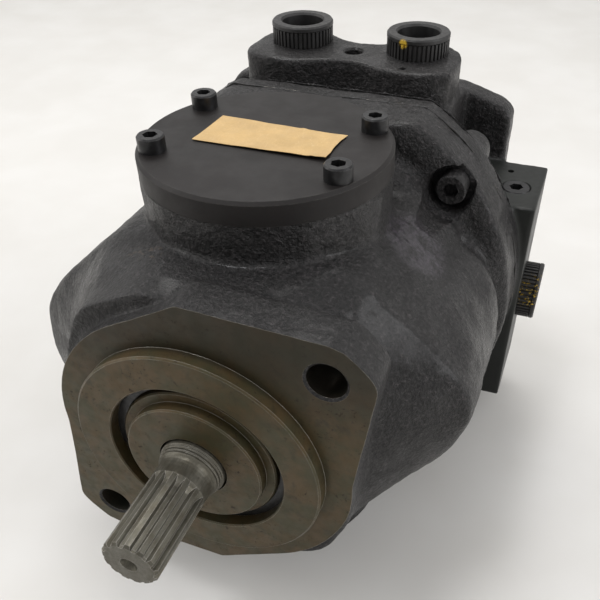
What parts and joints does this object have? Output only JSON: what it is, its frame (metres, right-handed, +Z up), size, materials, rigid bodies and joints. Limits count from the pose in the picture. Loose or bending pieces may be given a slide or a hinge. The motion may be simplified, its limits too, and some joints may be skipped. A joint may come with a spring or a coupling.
{
  "type": "axial piston pump",
  "caption": "Variable axial piston pump with a two-bolt mounting flange, splined drive shaft, tilting swashplate under a round cover, and a port block with capped outlets.",
  "frame": {"origin": "centre of the mounting flange's front face, on the shaft axis", "axes": "-Y along the shaft towards its splined end, +Y towards the port block, +Z up through the round cover, +X to the right seen from the drive end"},
  "size_m": [0.2068, 0.284, 0.1978],
  "materials": {
    "casting_paint": "satin charcoal paint over rough cast iron, oily patches",
    "machined_iron": "bare machined iron with an oil film",
    "cover_paint": "satin charcoal paint on a turned lid",
    "black_oxide": "black oxide socket screws and plugs",
    "shaft_steel": "ground and machined steel, oiled",
    "bearing_steel": "polished bearing steel",
    "iron": "machined ductile iron",
    "bronze": "bearing bronze",
    "spring_steel": "oil-tempered wire",
    "rubber": "matte black nitrile rubber",
    "black_plastic": "moulded black plastic, slightly worn",
    "kraft_paper": "brown kraft paper tape",
    "gasket_paper": "compressed fibre gasket sheet"
  },
  "bodies": {
    "case": {"housing": "casting_paint", "port_block": "casting_paint", "swashplate_cover": "cover_paint", "cover_screws": "black_oxide", "cover_o_ring": "rubber", "paper_label": "kraft_paper", "seal_carrier": "machined_iron", "seal_carrier_circlip": "black_oxide", "seal_carrier_o_ring": "rubber", "shaft_lip_seal": "rubber", "front_bearing_outer_ring": "bearing_steel", "rear_bearing_cup": "bearing_steel", "upper_trunnion_bearing_ring": "bearing_steel", "lower_trunnion_bearing_ring": "bearing_steel", "lower_trunnion_plug": "black_oxide", "lower_plug_o_ring": "rubber", "lower_plug_circlip": "black_oxide", "valve_plate": "bronze", "valve_plate_pin": "shaft_steel", "left_outlet_cap": "black_plastic", "right_outlet_cap": "black_plastic", "side_port_cap": "black_plastic", "pad_plug": "black_oxide", "case_drain_plug": "black_oxide", "bias_spring_plug": "black_oxide", "case_bolts": "black_oxide", "case_dowels": "shaft_steel", "case_gasket": "gasket_paper", "control_piston_sleeve": "shaft_steel", "bias_spring": "spring_steel", "stroke_limit_screw": "black_oxide", "stroke_limit_lock_nut": "black_oxide"},
    "shaft_group": {"drive_shaft": "shaft_steel", "front_bearing_inner_ring": "bearing_steel", "cylinder_block": "shaft_steel", "pistons": "bearing_steel", "slippers": "bronze", "slipper_retainer": "shaft_steel", "retainer_ball_guide": "bearing_steel", "block_spring": "spring_steel"},
    "front_roller_cage": {"front_bearing_rollers": "bearing_steel", "front_bearing_cage": "spring_steel"},
    "rear_needle_ring": {"rear_bearing_needles": "bearing_steel"},
    "swashplate_group": {"swashplate": "iron", "swashplate_wear_plate": "bearing_steel", "upper_trunnion_pin": "shaft_steel", "lower_trunnion_pin": "shaft_steel"},
    "trunnion_roller_rings": {"upper_trunnion_rollers": "bearing_steel", "lower_trunnion_rollers": "bearing_steel"},
    "control_piston_body": {"control_piston": "bearing_steel"},
    "bias_plunger_body": {"bias_plunger": "shaft_steel"}
  },
  "joints": [
    {"name": "shaft_spin", "type": "hinge", "parent": "case", "child": "shaft_group", "pos_m": [0, 0, 0], "axis": [0, 1, 0], "continuous": true},
    {"name": "front_roller_orbit", "type": "hinge", "parent": "case", "child": "front_roller_cage", "pos_m": [0, 0.02, 0], "axis": [0, 1, 0], "continuous": true},
    {"name": "rear_needle_orbit", "type": "hinge", "parent": "case", "child": "rear_needle_ring", "pos_m": [0, 0.157, 0], "axis": [0, 1, 0], "continuous": true},
    {"name": "swash_tilt", "type": "hinge", "parent": "case", "child": "swashplate_group", "pos_m": [0, 0.0783, 0], "axis": [0, 0, 1], "range_deg": [0, 15]},
    {"name": "trunnion_roller_orbit", "type": "hinge", "parent": "case", "child": "trunnion_roller_rings", "pos_m": [0, 0.0783, 0], "axis": [0, 0, 1], "range_deg": [0, 7.5]},
    {"name": "control_piston_slide", "type": "slide", "parent": "case", "child": "control_piston_body", "axis": [0, 1, 0], "range_m": [0, 0.0168]},
    {"name": "bias_plunger_slide", "type": "slide", "parent": "case", "child": "bias_plunger_body", "axis": [0, 1, 0], "range_m": [-0.0158, 0], "deforming": ["bias_spring"]}
  ],
  "couplings": [
    {"joint": "front_roller_orbit", "follows": "shaft_spin", "ratio": 0.42},
    {"joint": "rear_needle_orbit", "follows": "shaft_spin", "ratio": 0.456},
    {"joint": "trunnion_roller_orbit", "follows": "swash_tilt", "ratio": 0.437},
    {"joint": "control_piston_slide", "follows": "swash_tilt", "m_per_rad": 0.063},
    {"joint": "bias_plunger_slide", "follows": "swash_tilt", "m_per_rad": -0.059}
  ]
}
